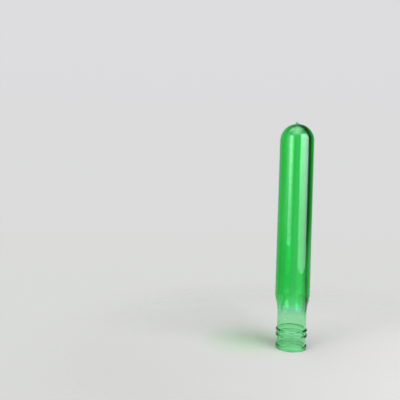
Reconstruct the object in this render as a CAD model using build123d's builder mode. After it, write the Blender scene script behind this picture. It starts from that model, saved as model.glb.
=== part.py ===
"""A moulded preform for a five-gallon water bottle, standing on its mouth as it does on a bench.

It is one piece of clear green PET: a neck that takes a press-on cap, a shoulder that widens
to a thick-walled body, and a domed end with the broken-off stub of the gate.
Lengths are in millimetres and heights are measured up from the mouth.
The origin is the centre of the mouth's rim, and +Z runs up the axis to the domed end.
"""

import math
import os

from build123d import *

# Lip at the mouth
lip_diameter = 55.0
lip_height = 6.0
lip_rim_round = 2.4
lip_edge_round = 1.2
lip_top_slope = 0.8
lip_foot_round = 0.8

# Straight neck, which is this much further in than the lip
neck_depth = 1.9
neck_length = 72.0
neck_wall = 2.4

# Snap band: a ridge with a square underside, a shallow waist and a ridge that slopes off above
band_height_over_neck = 2.3
band_waist_depth = 0.9
band_start = 22.2
band_lower_rise = 0.4
band_lower_width = 3.0
band_waist_slope = 1.3
band_waist_width = 5.2
band_upper_width = 1.2
band_upper_rise = 2.4
band_edge_round = 0.8
band_foot_round = 0.3
band_waist_round = 0.8

# Shoulder, and how far each of its bends reaches from its corner
shoulder_length = 21.0
shoulder_neck_bend = 13.0
shoulder_body_bend = 4.5

# Body and domed end
body_diameter = 61.4
dome_diameter = 58.8
length_without_gate = 398.9

# Hollow that the moulding core leaves
mouth_edge_round = 0.5
bore_length = 80.0
core_shoulder_length = 50.0
core_shoulder_round = 250.0
body_wall_at_shoulder = 8.9
dome_wall = 8.9
gate_wall = 6.5

# Stub of the gate on the dome
gate_diameter = 6.4
gate_height = 2.2
gate_sink = 1.0
gate_draft = 5.0
gate_break_tilt = 24.0
gate_break_width = 9.0
gate_foot_round = 0.8

# Places that follow from the sizes above
lip_radius = lip_diameter / 2
neck_radius = lip_radius - neck_depth
band_radius = neck_radius + band_height_over_neck
waist_radius = band_radius - band_waist_depth
body_radius = body_diameter / 2
dome_radius = dome_diameter / 2
bore_radius = neck_radius - neck_wall
core_start_radius = body_radius - body_wall_at_shoulder
core_tip_radius = dome_radius - dome_wall
lip_top = lip_height + lip_top_slope
low_ridge_start = band_start + band_lower_rise
low_ridge_end = low_ridge_start + band_lower_width
waist_start = low_ridge_end + band_waist_slope
waist_end = waist_start + band_waist_width
high_ridge_start = waist_end + band_waist_slope
high_ridge_end = high_ridge_start + band_upper_width
band_end = high_ridge_end + band_upper_rise
body_start = neck_length + shoulder_length
core_start = bore_length + core_shoulder_length
dome_centre = length_without_gate - dome_radius
shoulder_slope = math.atan2(body_radius - neck_radius, shoulder_length)
body_slope = math.atan2(dome_radius - body_radius, dome_centre - body_start)
shoulder_neck_round = shoulder_neck_bend / math.tan(abs(shoulder_slope) / 2)
shoulder_body_round = shoulder_body_bend / math.tan(abs(shoulder_slope - body_slope) / 2)
core_top = length_without_gate - gate_wall
core_dome_centre = core_top - core_tip_radius

# Corners of the outside, as radius and height, each with the round that it gets
outside_corners = [
    ((lip_radius, 0), lip_rim_round),
    ((lip_radius, lip_height), lip_edge_round),
    ((neck_radius, lip_top), lip_foot_round),
    ((neck_radius, band_start), band_foot_round),
    ((band_radius, low_ridge_start), band_edge_round),
    ((band_radius, low_ridge_end), band_edge_round),
    ((waist_radius, waist_start), band_waist_round),
    ((waist_radius, waist_end), band_waist_round),
    ((band_radius, high_ridge_start), band_edge_round),
    ((band_radius, high_ridge_end), band_edge_round),
    ((neck_radius, band_end), band_foot_round),
    ((neck_radius, neck_length), shoulder_neck_round),
    ((body_radius, body_start), shoulder_body_round),
]
outside_points = [(0, 0)] + [point for point, _ in outside_corners] + [(dome_radius, dome_centre)]
outside_rounds = [corner_round for _, corner_round in outside_corners]

# The same for the hollow. The mouth's inner edge is rounded afterwards
hollow_points = [
    (0, 0),
    (bore_radius, 0),
    (bore_radius, bore_length),
    (core_start_radius, core_start),
    (core_tip_radius, core_dome_centre),
]
hollow_rounds = [0, core_shoulder_round, core_shoulder_round]

with BuildPart() as preform:
    # The outside, turned as one solid about the axis
    with BuildSketch(Plane.XZ):
        with BuildLine():
            FilletPolyline(*outside_points, radius=outside_rounds)
            CenterArc((0, dome_centre), dome_radius, 0, 90)
            Line((0, length_without_gate), (0, 0))
        make_face()
    revolve(axis=Axis.Z)

    # The stub of the gate, with the slanted face where it was broken off
    with BuildSketch(Plane.XY.offset(length_without_gate - gate_sink)):
        Circle(gate_diameter / 2)
    extrude(amount=gate_sink + 2 * gate_height, taper=gate_draft)
    with Locations(Location((0, 0, length_without_gate + gate_height), (0, gate_break_tilt, 0))):
        Box(
            gate_break_width,
            gate_break_width,
            2 * gate_break_width,
            align=(Align.CENTER, Align.CENTER, Align.MIN),
            mode=Mode.SUBTRACT,
        )
    gate_foot = preform.edges().filter_by(GeomType.CIRCLE).group_by(Axis.Z)[-1]
    fillet(gate_foot, gate_foot_round)

    # The hollow that the moulding core leaves, open at the mouth
    with BuildSketch(Plane.XZ):
        with BuildLine():
            FilletPolyline(*hollow_points, radius=hollow_rounds)
            CenterArc((0, core_dome_centre), core_tip_radius, 0, 90)
            Line((0, core_top), (0, 0))
        make_face()
    revolve(axis=Axis.Z, mode=Mode.SUBTRACT)
    mouth_edge = preform.edges().filter_by(GeomType.CIRCLE).group_by(Axis.Z)[0].sort_by(SortBy.RADIUS)[0]
    fillet(mouth_edge, mouth_edge_round)

preform.part.label = "preform"

os.makedirs("parts", exist_ok=True)
export_step(preform.part, "parts/preform.step")
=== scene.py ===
"""A green PET preform, standing on its mouth in a plain studio.

Lengths are in metres and heights are measured up from the mouth. The axis is Z.
"""

import math

import bmesh
import bpy
from mathutils import Matrix, Vector, noise


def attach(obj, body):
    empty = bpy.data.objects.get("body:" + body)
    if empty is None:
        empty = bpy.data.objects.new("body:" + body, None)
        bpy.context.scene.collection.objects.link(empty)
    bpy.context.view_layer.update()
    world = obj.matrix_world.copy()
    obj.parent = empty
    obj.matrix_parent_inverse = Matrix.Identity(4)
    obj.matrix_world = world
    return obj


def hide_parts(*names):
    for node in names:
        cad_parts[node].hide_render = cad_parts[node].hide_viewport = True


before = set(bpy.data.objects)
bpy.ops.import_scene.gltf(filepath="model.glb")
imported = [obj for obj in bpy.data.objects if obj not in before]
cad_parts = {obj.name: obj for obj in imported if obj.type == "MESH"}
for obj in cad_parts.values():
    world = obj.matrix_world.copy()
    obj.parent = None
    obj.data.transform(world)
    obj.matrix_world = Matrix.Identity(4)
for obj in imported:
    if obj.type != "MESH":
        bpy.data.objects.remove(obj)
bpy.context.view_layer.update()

# Lip at the mouth
lip_radius = 0.0275
lip_height = 0.006
lip_rim_round = 0.0024
lip_edge_round = 0.0012
lip_top = 0.0068
lip_foot_round = 0.0008

# Snap band: a ridge with a square underside, a shallow waist and a ridge that slopes off above
band_radius = 0.0279
waist_radius = 0.0270
band_start = 0.0222
low_ridge_start = 0.0226
low_ridge_end = 0.0256
waist_start = 0.0269
waist_end = 0.0321
high_ridge_start = 0.0334
high_ridge_end = 0.0346
band_end = 0.037
band_edge_round = 0.0008
band_foot_round = 0.0003
band_waist_round = 0.0008

# Neck, shoulder and body
neck_radius = 0.0256
neck_length = 0.072
body_start = 0.093
body_radius = 0.0307
shoulder_neck_round = 0.1086
shoulder_body_round = 0.0369
dome_radius = 0.0294
dome_top = 0.3989

# Hollow that the moulding core leaves
bore_radius = 0.0232
mouth_edge_round = 0.0005
bore_length = 0.080
core_start = 0.130
core_start_radius = 0.0218
core_tip_radius = 0.0205
core_shoulder_round = 0.250
gate_wall = 0.0065

# Stub of the gate on the dome, and the slanted break on it
gate_radius = 0.00295
gate_height = 0.0022
gate_draft = math.radians(5)
gate_foot_round = 0.0008
gate_break_slope = math.tan(math.radians(24))
gate_break_rings = 7
gate_break_roughness = 0.00018
gate_break_grain = 1400
sharp_edge = math.radians(50)

# How finely the piece is divided
turn_steps = 256
arc_step = math.radians(6)

# How near points are to be the same, along the section and round the turn
section_weld = 1e-7
turn_weld = 1e-6

# Green PET: its refraction, its polish, and how fast red, green and blue fade per metre of plastic
pet_ior = 1.575
pet_polish = 0.015
pet_fade = (203.0, 14.5, 139.0)

# Faint scuffs along the axis, and the patches where the piece has been handled
scuff_depth = 0.05
scuff_scale = 900
scuff_stretch = 0.12
scuff_reach = (0.56, 0.8)
handled_scale = 45
handled_reach = (0.45, 0.7)

# Slight unevenness from the mould's flow, and the frosted break on the stub
flow_scale = 60
flow_bump = 0.04
broken_scale = 2500
broken_roughness = 0.22
bump_strength = 0.5
bump_depth = 0.0001

# Camera, where the photograph was taken from
photo_side = 400
focal_pixels = 523
sensor_width = 36
camera_place = Vector((-0.168, -0.9198, 0.3325))
camera_pitch = math.radians(4.32)
camera_roll = math.radians(0.97)

# Floor: its colour from front to back, painted darker at the front as painted shade that evens out the
# lamps' stronger light there, its painted green shadow beside the foot, and how far out it fades into the
# backdrop.
# Inside the mouth it is painted brighter: painted light standing in for the light that the plastic throws
# onto the floor there
floor_reach = 4.0
floor_sides = 96
# The front colour is darker than the back: painted shade that evens out the lamps' stronger light at the
# front
floor_front = (0.405, 0.369, 0.315, 1)
floor_back = (0.535, 0.486, 0.414, 1)
floor_depth = (-0.3, 0.35)
# Painted green shadow of the plastic beside the foot: its colour, its centre, and the distances over which
# it fades out
painted_green_shadow = (0.36, 0.41, 0.28, 1)
green_shadow_place = (-0.075, 0.03, 0)
green_shadow_reach = (0.0, 0.11)
# Painted light: the colour of the floor inside the mouth, and the radii over which it ends
painted_light_in_mouth = (0.95, 0.9, 0.8, 1)
mouth_rim = (0.021, 0.0245)
floor_fade = (0.2, 0.55)

# Backdrop, from below the horizon to above it
backdrop_edge = (-0.3, 0.3)
backdrop_low = (0.7, 0.71, 0.695, 1)
backdrop_high = (0.725, 0.715, 0.735, 1)

# Brightness of the room round the axis, by degrees from +Y towards +X: table, walls and upper walls
table_ring = [
    (-180, 0.7),
    (-140, 0.58),
    (-100, 0.76),
    (-70, 0.64),
    (-40, 0.5),
    (0, 0.61),
    (20, 0.65),
    (40, 0.51),
    (60, 0.36),
    (80, 0.18),
    (100, 0.42),
    (180, 0.7),
]
wall_ring = [
    (-180, 0.6),
    (-140, 0.35),
    (-105, 0.92),
    (-85, 0.95),
    (-70, 0.9),
    (-55, 0.65),
    (-40, 0.66),
    (-25, 0.58),
    (-12, 0.7),
    (-4, 0.78),
    (1, 0.42),
    (6, 0.52),
    (11, 0.74),
    (16, 0.53),
    (22, 0.5),
    (30, 0.44),
    (38, 0.35),
    (46, 0.25),
    (54, 0.05),
    (82, 0.0),
    (100, 0.31),
    (112, 0.54),
    (140, 0.1),
    (180, 0.6),
]
upper_ring = [
    (-180, 0.68),
    (-120, 0.84),
    (-90, 0.86),
    (-60, 0.67),
    (-30, 0.42),
    (0, 0.25),
    (30, 0.04),
    (60, 0.0),
    (90, 0.16),
    (120, 0.4),
    (150, 0.55),
    (180, 0.68),
]
zenith_glow = (0.38, 0.38, 0.38, 1)

# Where each of them gives way to the next, by the sine of the height above the horizon
table_edge = (-0.18, -0.08)
upper_edge = (0.24, 0.40)
zenith_edge = (0.8, 0.95)

# Green light from the left, the degrees that it comes from, and the cool light of everything else
green_light = (0.35, 1.0, 0.55)
green_walls = (-95, -50)
green_table = (-145, -50)
cool_light = (0.94, 1.0, 1.2)

# Tall soft lamps that stand on the floor, by degrees from the camera's side towards +X.
# Each fades over a share of its two edges and its head, and dims to foot over foot_reach
softbox_head = 0.15
softboxes = {
    "left_box": {
        "azimuth": -33.4,
        "distance": 1.2,
        "width": 0.83,
        "height": 1.35,
        "radiance": 5.9,
        "edges": (0.25, 0.75),
        "foot": 0.42,
        "foot_reach": 0.4,
    },
    "side_box": {
        "azimuth": -54,
        "distance": 1.2,
        "width": 0.42,
        "height": 1.35,
        "radiance": 3.0,
        "edges": (0.4, 0.4),
        "foot": 0.0,
        "foot_reach": 0.6,
    },
    "right_box": {
        "azimuth": 53.6,
        "distance": 0.65,
        "width": 0.81,
        "height": 1.0,
        "radiance": 7.1,
        "edges": (0.22, 0.12),
        "foot": 0.35,
        "foot_reach": 0.65,
    },
}

# Lamp overhead, which fades towards the camera
top_place = Vector((-0.15, -0.68, 1.9))
top_width = 2.7
top_depth = 2.5
top_radiance = 2.6
top_edges = (0.35, 0.42)
top_foot = 0.0
top_foot_reach = 0.25
top_head = 0.02


def line_to(bm, tip, place):
    """Draws a straight edge from the tip to a place and returns the new tip."""
    grown = bmesh.ops.extrude_vert_indiv(bm, verts=[tip])["verts"][0]
    grown.co = place
    return grown


def arc_about(bm, tip, centre, turn):
    """Sweeps the tip about a centre in the XZ plane and returns the new tip."""
    steps = max(2, math.ceil(abs(turn) / arc_step))
    swept = bmesh.ops.spin(bm, geom=[tip], cent=centre, axis=(0, 1, 0), angle=turn, steps=steps)
    return next(item for item in swept["geom_last"] if isinstance(item, bmesh.types.BMVert))


def rounded_chain(bm, corners):
    """Draws a chain of edges through (radius, height, round) corners and returns its end."""
    places = [Vector((radius, 0, height)) for radius, height, _ in corners]
    rounds = [corner_round for _, _, corner_round in corners]
    tip = bm.verts.new(places[0])
    for before, here, after, corner_round in zip(places, places[1:], places[2:], rounds[1:]):
        way_in = (here - before).normalized()
        way_out = (after - here).normalized()
        turn = way_in.angle(way_out)
        side = 1 if way_in.cross(way_out).y > 0 else -1
        tip = line_to(bm, tip, here - way_in * corner_round * math.tan(turn / 2))
        centre = tip.co + Vector((way_in.z, 0, -way_in.x)) * corner_round * side
        tip = arc_about(bm, tip, centre, turn * side)
    return line_to(bm, tip, places[-1])


def draw_outside(bm):
    """The outer half of the section, from the mouth's rim to the middle of the gate stub."""
    dome_centre = Vector((0, 0, dome_top - dome_radius))
    corners = [
        (bore_radius + mouth_edge_round, 0, 0),
        (lip_radius, 0, lip_rim_round),
        (lip_radius, lip_height, lip_edge_round),
        (neck_radius, lip_top, lip_foot_round),
        (neck_radius, band_start, band_foot_round),
        (band_radius, low_ridge_start, band_edge_round),
        (band_radius, low_ridge_end, band_edge_round),
        (waist_radius, waist_start, band_waist_round),
        (waist_radius, waist_end, band_waist_round),
        (band_radius, high_ridge_start, band_edge_round),
        (band_radius, high_ridge_end, band_edge_round),
        (neck_radius, band_end, band_foot_round),
        (neck_radius, neck_length, shoulder_neck_round),
        (body_radius, body_start, shoulder_body_round),
        (dome_radius, dome_centre.z, 0),
    ]
    tip = rounded_chain(bm, corners)
    foot_reach = dome_radius + gate_foot_round
    foot_angle = math.asin((gate_radius + gate_foot_round * math.cos(gate_draft)) / foot_reach)
    tip = arc_about(bm, tip, dome_centre, foot_angle - math.pi / 2)
    foot_centre = dome_centre + foot_reach * Vector((math.sin(foot_angle), 0, math.cos(foot_angle)))
    tip = arc_about(bm, tip, foot_centre, math.pi / 2 - gate_draft - foot_angle)
    rise = dome_top + gate_height - tip.co.z
    rim_radius = tip.co.x - rise * math.tan(gate_draft)
    for ring in range(gate_break_rings, -1, -1):
        tip = line_to(bm, tip, Vector((rim_radius * ring / gate_break_rings, 0, dome_top + gate_height)))


def draw_hollow(bm):
    """The inner half of the section, from the mouth's rim to the top of the hollow."""
    core_top = dome_top - gate_wall
    core_centre = Vector((0, 0, core_top - core_tip_radius))
    corners = [
        (bore_radius + mouth_edge_round, 0, 0),
        (bore_radius, 0, mouth_edge_round),
        (bore_radius, bore_length, core_shoulder_round),
        (core_start_radius, core_start, core_shoulder_round),
        (core_tip_radius, core_centre.z, 0),
    ]
    tip = rounded_chain(bm, corners)
    arc_about(bm, tip, core_centre, -math.pi / 2)


def break_off_gate(bm):
    """Slants the top of the stub down towards +X and roughens it, as the gate leaves it."""
    top = [vert for vert in bm.verts if vert.co.z > dome_top + gate_height - turn_weld]
    slant = Matrix.Identity(4)
    slant[2][0] = -gate_break_slope
    bmesh.ops.transform(bm, matrix=slant, verts=top)
    for vert in top:
        vert.co.z -= gate_break_roughness * abs(noise.noise(vert.co * gate_break_grain))


def turned_preform():
    """The preform as one closed surface, turned about the axis."""
    bm = bmesh.new()
    draw_outside(bm)
    draw_hollow(bm)
    bmesh.ops.remove_doubles(bm, verts=bm.verts, dist=section_weld)
    bmesh.ops.spin(
        bm,
        geom=bm.verts[:] + bm.edges[:],
        cent=(0, 0, 0),
        axis=(0, 0, 1),
        angle=math.tau,
        steps=turn_steps,
        use_merge=True,
    )
    bmesh.ops.remove_doubles(bm, verts=bm.verts, dist=turn_weld)
    break_off_gate(bm)
    bmesh.ops.recalc_face_normals(bm, faces=bm.faces)
    for face in bm.faces:
        face.smooth = True
    for edge in bm.edges:
        edge.smooth = edge.calc_face_angle(0) < sharp_edge
    mesh = bpy.data.meshes.new("clear_preform")
    bm.to_mesh(mesh)
    bm.free()
    piece = bpy.data.objects.new("clear_preform", mesh)
    bpy.context.scene.collection.objects.link(piece)
    return piece


class Shade:
    """A shader socket. Arithmetic on it adds Math nodes to its tree."""

    def __init__(self, tree, socket=None):
        self.tree = tree
        self.socket = socket

    def add(self, kind, settings=None, inputs=None, output=0):
        """Adds a node: its settings first, then the values or links of its sockets."""
        node = self.tree.nodes.new(kind)
        for name, value in (settings or {}).items():
            if name == "stops":
                place_stops(node.color_ramp, value)
            else:
                setattr(node, name, value)
        for name, value in (inputs or {}).items():
            if isinstance(value, Shade):
                self.tree.links.new(value.socket, node.inputs[name])
            else:
                node.inputs[name].default_value = value
        return Shade(self.tree, node.outputs[output] if node.outputs else None)

    def part(self, name):
        """Another output of the node that this socket belongs to."""
        return Shade(self.tree, self.socket.node.outputs[name])

    def maths(self, operation, *others):
        """A Math node with these operands."""
        values = {index: other for index, other in enumerate(others)}
        return self.add("ShaderNodeMath", {"operation": operation}, values)

    def __add__(self, other):
        return self.maths("ADD", self, other)

    __radd__ = __add__

    def __sub__(self, other):
        return self.maths("SUBTRACT", self, other)

    def __rsub__(self, other):
        return self.maths("SUBTRACT", other, self)

    def __mul__(self, other):
        return self.maths("MULTIPLY", self, other)

    __rmul__ = __mul__

    def __truediv__(self, other):
        return self.maths("DIVIDE", self, other)

    def ramp(self, low, high):
        """Rises smoothly from 0 at low to 1 at high."""
        settings = {"interpolation_type": "SMOOTHSTEP"}
        return self.add("ShaderNodeMapRange", settings, {"Value": self, "From Min": low, "From Max": high})

    def blend(self, first, second):
        """A colour that goes from the first to the second as this goes from 0 to 1."""
        return self.add("ShaderNodeMix", {"data_type": "RGBA"}, {0: self, 6: first, 7: second}, output=2)


def place_stops(color_ramp, stops):
    """Sets a colour ramp's stops from (place, colour) pairs."""
    while len(color_ramp.elements) < len(stops):
        color_ramp.elements.new(0.5)
    for element, (place, colour) in zip(color_ramp.elements, stops):
        element.position = place
        element.color = colour


def new_shade(owner):
    """An empty node tree on a material, world or lamp."""
    owner.use_nodes = True
    owner.node_tree.nodes.clear()
    return Shade(owner.node_tree)


def green_pet():
    """Clear PET tinted right through: its green comes from the depth of plastic that light crosses."""
    material = bpy.data.materials.new("green_pet")
    shade = new_shade(material)
    place = shade.add("ShaderNodeTexCoord", output="Object")
    x = place.add("ShaderNodeSeparateXYZ", inputs={0: place})
    z = x.part("Z")
    stretched = place.add("ShaderNodeMapping", inputs={"Vector": place, "Scale": (1, 1, scuff_stretch)})
    scuffs = place.add(
        "ShaderNodeTexNoise",
        inputs={"Vector": stretched, "Scale": scuff_scale, "Detail": 4, "Roughness": 0.6},
    )
    handled = place.add("ShaderNodeTexNoise", inputs={"Vector": place, "Scale": handled_scale, "Detail": 3})
    flow = place.add("ShaderNodeTexNoise", inputs={"Vector": place, "Scale": flow_scale, "Detail": 2})
    grain = place.add("ShaderNodeTexNoise", inputs={"Vector": place, "Scale": broken_scale, "Detail": 4})
    broken = (z + x * gate_break_slope).ramp(
        dome_top + gate_height - 3 * gate_break_roughness,
        dome_top + gate_height - gate_break_roughness,
    )
    scuffed = scuffs.ramp(*scuff_reach) * handled.ramp(*handled_reach)
    roughness = pet_polish + scuff_depth * scuffed + broken_roughness * broken
    height = flow * flow_bump + broken * grain
    bump = shade.add(
        "ShaderNodeBump",
        inputs={"Height": height, "Strength": bump_strength, "Distance": bump_depth},
    )
    surface = shade.add(
        "ShaderNodeBsdfPrincipled",
        inputs={
            "Base Color": (1, 1, 1, 1),
            "Roughness": roughness,
            "IOR": pet_ior,
            "Transmission Weight": 1.0,
            "Normal": bump,
        },
    )
    pet_density = max(pet_fade)
    pet_tint = tuple(1 - fade / pet_density for fade in pet_fade) + (1.0,)
    depth = shade.add("ShaderNodeVolumeAbsorption", inputs={"Color": pet_tint, "Density": pet_density})
    shade.add("ShaderNodeOutputMaterial", inputs={"Surface": surface, "Volume": depth})
    return material


def photo_camera():
    """The camera, turned by its pitch and its slight lean."""
    data = bpy.data.cameras.new("camera")
    data.sensor_width = sensor_width
    data.lens = sensor_width * focal_pixels / photo_side
    camera = bpy.data.objects.new("camera", data)
    right = Vector((1, 0, 0))
    up = Vector((0, math.sin(camera_pitch), math.cos(camera_pitch)))
    leaning_right = math.cos(camera_roll) * right + math.sin(camera_roll) * up
    leaning_up = math.cos(camera_roll) * up - math.sin(camera_roll) * right
    back = leaning_right.cross(leaning_up)
    turned = Matrix((leaning_right, leaning_up, back)).transposed().to_4x4()
    camera.matrix_world = Matrix.Translation(camera_place) @ turned
    bpy.context.scene.collection.objects.link(camera)
    bpy.context.scene.camera = camera


def pale_floor():
    """A pale table top that runs out into the backdrop."""
    bm = bmesh.new()
    bmesh.ops.create_circle(bm, cap_ends=True, radius=floor_reach, segments=floor_sides)
    mesh = bpy.data.meshes.new("floor")
    bm.to_mesh(mesh)
    bm.free()
    piece = bpy.data.objects.new("floor", mesh)
    bpy.context.scene.collection.objects.link(piece)
    material = bpy.data.materials.new("floor")
    shade = new_shade(material)
    place = shade.add("ShaderNodeTexCoord", output="Object")
    away = shade.add("ShaderNodeVectorMath", {"operation": "LENGTH"}, {0: place}, output="Value")
    depth = shade.add("ShaderNodeSeparateXYZ", inputs={0: place}).part("Y")
    # Painted shade: darker towards the front, where the lamps light the floor more
    plain = depth.ramp(*floor_depth).blend(floor_front, floor_back)
    # Painted green shadow of the plastic, beside the foot
    from_green_shadow = shade.add(
        "ShaderNodeVectorMath",
        {"operation": "DISTANCE"},
        {0: place, 1: green_shadow_place},
        output="Value",
    )
    with_green_shadow = from_green_shadow.ramp(*green_shadow_reach).blend(painted_green_shadow, plain)
    # Painted light: the floor inside the mouth is painted brighter, for the light that the plastic throws
    # there
    colour = away.ramp(*mouth_rim).blend(painted_light_in_mouth, with_green_shadow)
    paint = shade.add("ShaderNodeBsdfDiffuse", inputs={"Color": colour})
    clear = shade.add("ShaderNodeBsdfTransparent")
    faded = shade.add("ShaderNodeMixShader", inputs={0: away.ramp(*floor_fade), 1: paint, 2: clear})
    shade.add("ShaderNodeOutputMaterial", inputs={"Surface": faded})
    mesh.materials.append(material)


def ring_stops(ring, green_side):
    """Colour stops for a ring of (degrees, brightness) pairs: green on its green side and cool elsewhere."""
    stops = []
    for degrees, brightness in ring:
        tint = green_light if green_side[0] <= degrees <= green_side[1] else cool_light
        stops.append(((degrees + 180) / 360, tuple(brightness * part for part in tint) + (1,)))
    return stops


def studio_world():
    """A plain backdrop for the camera, and a room that the plastic mirrors and bends."""
    world = bpy.data.worlds.new("studio")
    bpy.context.scene.world = world
    shade = new_shade(world)
    way = shade.add("ShaderNodeTexCoord", output="Generated")
    x = shade.add("ShaderNodeSeparateXYZ", inputs={0: way})
    y = x.part("Y")
    z = x.part("Z")
    turn = (x.maths("ARCTAN2", x, y) * math.degrees(1) + 180) / 360
    table = shade.add("ShaderNodeValToRGB", {"stops": ring_stops(table_ring, green_table)}, {0: turn})
    walls = shade.add("ShaderNodeValToRGB", {"stops": ring_stops(wall_ring, green_walls)}, {0: turn})
    upper = shade.add("ShaderNodeValToRGB", {"stops": ring_stops(upper_ring, green_walls)}, {0: turn})
    low_room = z.ramp(*table_edge).blend(table, walls)
    high_room = z.ramp(*zenith_edge).blend(upper, zenith_glow)
    room = z.ramp(*upper_edge).blend(low_room, high_room)
    backdrop = z.ramp(*backdrop_edge).blend(backdrop_low, backdrop_high)
    seen = shade.add("ShaderNodeLightPath", output="Is Camera Ray")
    background = shade.add("ShaderNodeBackground", inputs={"Color": seen.blend(room, backdrop)})
    shade.add("ShaderNodeOutputWorld", inputs={"Surface": background})


def area_lamp(name, place, aim, width, height, radiance, edges, foot, foot_reach, head_reach):
    """A soft lamp that fades over its two edges and its head and, below foot_reach, dims to foot."""
    data = bpy.data.lights.new(name, "AREA")
    data.shape = "RECTANGLE"
    data.size = width
    data.size_y = height
    data.energy = radiance * math.pi * width * height
    data.color = cool_light
    shade = new_shade(data)
    place_on = shade.add("ShaderNodeNewGeometry", output="Parametric")
    across = shade.add("ShaderNodeSeparateXYZ", inputs={0: place_on})
    up = across.part("Y")
    sides = across.ramp(0, edges[0]) * (1 - across).ramp(0, edges[1])
    strength = sides * (1 - up).ramp(0, head_reach) * (foot + (1 - foot) * up.ramp(0, foot_reach))
    glow = shade.add("ShaderNodeEmission", inputs={"Strength": strength})
    shade.add("ShaderNodeOutputLight", inputs={"Surface": glow})
    lamp = bpy.data.objects.new(name, data)
    lamp.location = place
    lamp.rotation_mode = "QUATERNION"
    lamp.rotation_quaternion = (aim - place).to_track_quat("-Z", "Y")
    lamp.visible_camera = False
    bpy.context.scene.collection.objects.link(lamp)
    return lamp


def softbox(name, azimuth, distance, width, height, radiance, edges, foot, foot_reach):
    """A tall soft lamp on the floor that faces the axis."""
    camera_azimuth = math.atan2(camera_place.x, -camera_place.y)
    angle = camera_azimuth + math.radians(azimuth)
    place = Vector((math.sin(angle) * distance, -math.cos(angle) * distance, height / 2))
    aim = Vector((0, 0, place.z))
    return area_lamp(name, place, aim, width, height, radiance, edges, foot, foot_reach, softbox_head)


preform = turned_preform()
preform.data.materials.append(green_pet())
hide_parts("preform")
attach(preform, "root")

pale_floor()
studio_world()
for name, settings in softboxes.items():
    softbox(name, **settings)
top_aim = top_place * Vector((1, 1, 0))
area_lamp(
    "top_box",
    top_place,
    top_aim,
    top_width,
    top_depth,
    top_radiance,
    top_edges,
    foot=top_foot,
    foot_reach=top_foot_reach,
    head_reach=top_head,
)
photo_camera()
bpy.context.scene.view_settings.view_transform = "Standard"
